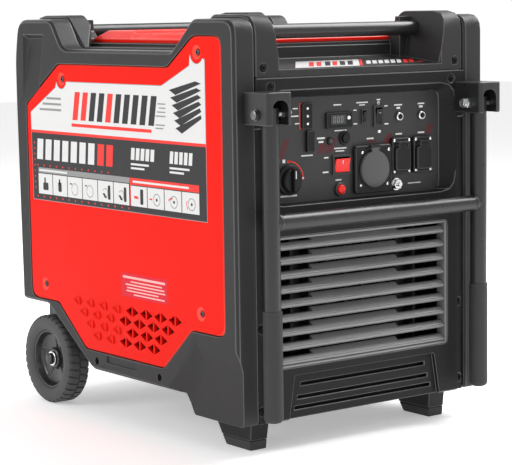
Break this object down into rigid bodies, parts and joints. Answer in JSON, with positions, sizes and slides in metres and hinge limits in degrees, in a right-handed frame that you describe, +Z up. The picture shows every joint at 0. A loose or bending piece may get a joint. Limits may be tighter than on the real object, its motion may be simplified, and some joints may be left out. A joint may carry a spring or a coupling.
{
  "type": "inverter generator",
  "caption": "Closed-cabinet inverter generator with recessed control panel, louvred front, screwed side panels, carry bars, rear wheels and a folding pull handle",
  "frame": {"origin": "on the ground, at the middle of the bounding box seen from above", "axes": "+Z up, the control side faces -Y, +X is to the right when looking at the control side; metres"},
  "size_m": [0.474, 0.656, 0.628],
  "materials": {
    "dark_plastic": "moulded, fine texture",
    "red_plastic": "moulded, satin gloss",
    "black_plastic": "moulded, satin",
    "grip_rubber": "soft, matt",
    "tyre_rubber": "matt tread",
    "painted_steel": "satin powder coat",
    "zinc_steel": "zinc plated",
    "bright_steel": "polished",
    "cast_aluminium": "as cast"
  },
  "bodies": {
    "cabinet": {"side_housing_right": "dark_plastic", "side_housing_left": "dark_plastic", "side_panel_right": "red_plastic", "side_panel_left": "red_plastic", "top_cover": "dark_plastic", "top_lid": "red_plastic", "carry_bar_front": "painted_steel", "carry_bar_rear": "painted_steel", "front_bezel": "dark_plastic", "front_grille": "dark_plastic", "control_panel": "black_plastic", "main_socket": "black_plastic", "socket_left": "black_plastic", "socket_right": "black_plastic", "earth_terminal": "bright_steel", "display": "black_plastic", "indicator_block": "black_plastic", "comms_port": "black_plastic", "dc_outlet": "black_plastic", "handle_bracket_right": "painted_steel", "handle_bracket_left": "painted_steel", "pivot_bolt_right": "zinc_steel", "pivot_bolt_left": "zinc_steel", "chassis_tray": "painted_steel", "foot_right": "black_plastic", "foot_left": "black_plastic", "foot_pad_right": "grip_rubber", "foot_pad_left": "grip_rubber", "axle": "zinc_steel", "hub_cap_right": "bright_steel", "hub_cap_left": "bright_steel", "axle_hanger_right": "painted_steel", "axle_hanger_left": "painted_steel", "rear_cover": "dark_plastic", "engine": "cast_aluminium", "alternator_stator": "zinc_steel", "silencer": "cast_aluminium", "fuel_tank": "black_plastic", "inverter_module": "cast_aluminium", "battery": "black_plastic", "air_cleaner": "black_plastic"},
    "pull_handle": {"handle_frame": "painted_steel", "grip_right": "grip_rubber", "grip_left": "grip_rubber"},
    "wheel_right": {"tyre_right": "tyre_rubber", "rim_right": "black_plastic"},
    "wheel_left": {"tyre_left": "tyre_rubber", "rim_left": "black_plastic"},
    "filler_cap": {"fuel_cap": "black_plastic"},
    "dial": {"selector_dial": "black_plastic"},
    "engine_rocker": {"engine_switch": "red_plastic"},
    "economy_rocker": {"economy_switch": "black_plastic"},
    "parallel_rocker": {"parallel_switch": "black_plastic"},
    "starter": {"start_button": "red_plastic"},
    "breaker_left": {"breaker_button_left": "black_plastic"},
    "breaker_right": {"breaker_button_right": "black_plastic"},
    "main_lid": {"main_socket_lid": "black_plastic"},
    "left_lid": {"socket_left_lid": "black_plastic"},
    "right_lid": {"socket_right_lid": "black_plastic"},
    "rotor": {"alternator_rotor": "cast_aluminium"}
  },
  "joints": [
    {"name": "handle_swing", "type": "hinge", "parent": "cabinet", "child": "pull_handle", "pos_m": [0, -0.303, 0.49], "axis": [-1, 0, 0], "range_deg": [0, 90]},
    {"name": "wheel_right_spin", "type": "hinge", "parent": "cabinet", "child": "wheel_right", "pos_m": [0.217, 0.253, 0.072], "axis": [1, 0, 0], "continuous": true},
    {"name": "wheel_left_spin", "type": "hinge", "parent": "cabinet", "child": "wheel_left", "pos_m": [-0.217, 0.253, 0.072], "axis": [1, 0, 0], "continuous": true},
    {"name": "filler_cap_turn", "type": "hinge", "parent": "cabinet", "child": "filler_cap", "pos_m": [0, 0.028, 0.6], "axis": [0, 0, 1], "range_deg": [0, 120]},
    {"name": "dial_turn", "type": "hinge", "parent": "cabinet", "child": "dial", "pos_m": [-0.131, -0.272, 0.391], "axis": [0, 1, 0], "range_deg": [0, 90]},
    {"name": "engine_rocker_tip", "type": "hinge", "parent": "cabinet", "child": "engine_rocker", "pos_m": [-0.0333, -0.256, 0.4075], "axis": [-1, 0, 0], "range_deg": [0, 16]},
    {"name": "economy_rocker_tip", "type": "hinge", "parent": "cabinet", "child": "economy_rocker", "pos_m": [0.0385, -0.256, 0.475], "axis": [-1, 0, 0], "range_deg": [0, 16]},
    {"name": "parallel_rocker_tip", "type": "hinge", "parent": "cabinet", "child": "parallel_rocker", "pos_m": [0.0105, -0.256, 0.476], "axis": [-1, 0, 0], "range_deg": [0, 16]},
    {"name": "start_button_press", "type": "slide", "parent": "cabinet", "child": "starter", "axis": [0, 1, 0], "range_m": [0, 0.003], "stiffness_N_per_m": 600, "springref_m": -0.001},
    {"name": "breaker_left_press", "type": "slide", "parent": "cabinet", "child": "breaker_left", "axis": [0, 1, 0], "range_m": [0, 0.0025], "stiffness_N_per_m": 600, "springref_m": -0.001},
    {"name": "breaker_right_press", "type": "slide", "parent": "cabinet", "child": "breaker_right", "axis": [0, 1, 0], "range_m": [0, 0.0025], "stiffness_N_per_m": 600, "springref_m": -0.001},
    {"name": "main_lid_open", "type": "hinge", "parent": "cabinet", "child": "main_lid", "pos_m": [0.024, -0.267, 0.4285], "axis": [-1, 0, 0], "range_deg": [0, 100], "stiffness_Nm_per_rad": 0.004, "springref_deg": -22.92},
    {"name": "left_lid_open", "type": "hinge", "parent": "cabinet", "child": "left_lid", "pos_m": [0.079, -0.267, 0.43], "axis": [-1, 0, 0], "range_deg": [0, 100], "stiffness_Nm_per_rad": 0.004, "springref_deg": -22.92},
    {"name": "right_lid_open", "type": "hinge", "parent": "cabinet", "child": "right_lid", "pos_m": [0.1215, -0.267, 0.43], "axis": [-1, 0, 0], "range_deg": [0, 100], "stiffness_Nm_per_rad": 0.004, "springref_deg": -22.92},
    {"name": "rotor_spin", "type": "hinge", "parent": "cabinet", "child": "rotor", "pos_m": [-0.11, 0.038, 0.235], "axis": [1, 0, 0], "continuous": true}
  ]
}
